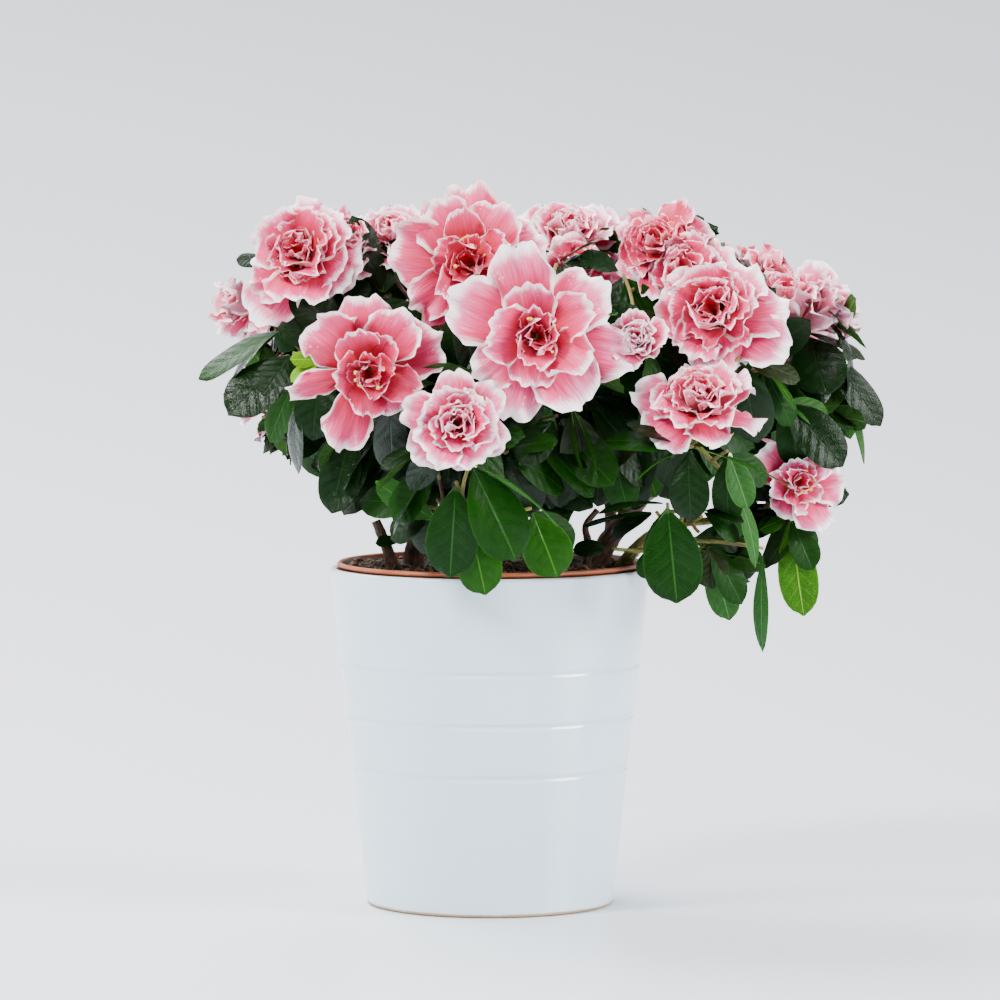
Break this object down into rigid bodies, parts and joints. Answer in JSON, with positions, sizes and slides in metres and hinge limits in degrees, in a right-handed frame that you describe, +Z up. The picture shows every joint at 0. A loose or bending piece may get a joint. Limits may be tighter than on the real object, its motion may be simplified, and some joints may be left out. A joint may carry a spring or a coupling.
{
  "type": "potted azalea shrub",
  "caption": "Compact azalea shrub with double pink and white flowers and glossy leaves, in a tapered white glazed cover pot with shallow ring grooves.",
  "frame": {"origin": "centre of the cover pot's flat underside, on the surface it stands on", "axes": "+Z up along the pot's axis, -Y towards the side the plant shows, +X towards the side it leans out over"},
  "size_m": [0.2872, 0.2225, 0.3065],
  "materials": {
    "pot_glaze": "gloss white glaze",
    "liner_plastic": "matt terracotta-coloured plastic",
    "peat": "damp fibrous peat",
    "bark": "matt brown bark",
    "green_bark": "satin green-brown bark",
    "foliage": "glossy dark green leaves",
    "blossom": "soft pink and white petals"
  },
  "bodies": {
    "root": {"pot": "pot_glaze", "liner": "liner_plastic", "root_ball": "peat", "main_stem": "bark", "right_stem": "bark", "second_right_stem": "green_bark", "left_stem": "bark", "cut_stub": "bark", "bent_snag": "bark", "short_stub": "bark", "front_left_bough": "bark", "front_bough": "bark", "front_right_bough": "bark", "left_bough": "bark", "rear_left_bough": "bark", "rear_bough": "bark", "rear_right_bough": "bark", "right_rear_bough": "bark", "right_front_bough": "bark", "hanging_bough": "bark", "low_right_bough": "bark", "upper_left_blossom_mass": "blossom", "top_left_blossom_mass": "blossom", "front_blossom_mass": "blossom", "front_left_blossom_mass": "blossom", "front_low_blossom_mass": "blossom", "left_leaf_mass": "foliage", "lower_left_leaf_mass": "foliage", "front_low_leaf_mass": "foliage", "top_blossom_mass": "blossom", "upper_right_blossom_mass": "blossom", "right_front_blossom_mass": "blossom", "right_low_blossom_mass": "blossom", "half_open_blossom_mass": "blossom", "far_right_blossom_mass": "blossom", "right_leaf_mass": "foliage", "low_right_blossom_mass": "blossom", "low_right_leaf_mass": "foliage", "hanging_leaf_mass": "foliage", "hanging_tip_leaf_mass": "foliage", "inner_leaf_mass": "foliage", "inner_right_leaf_mass": "foliage", "rear_left_blossom_mass": "blossom", "rear_left_leaf_mass": "foliage", "rear_blossom_mass": "blossom", "rear_leaf_mass": "foliage", "rear_right_blossom_mass": "blossom", "rear_right_leaf_mass": "foliage", "right_rear_blossom_mass": "blossom", "right_rear_leaf_mass": "foliage"}
  },
  "joints": []
}
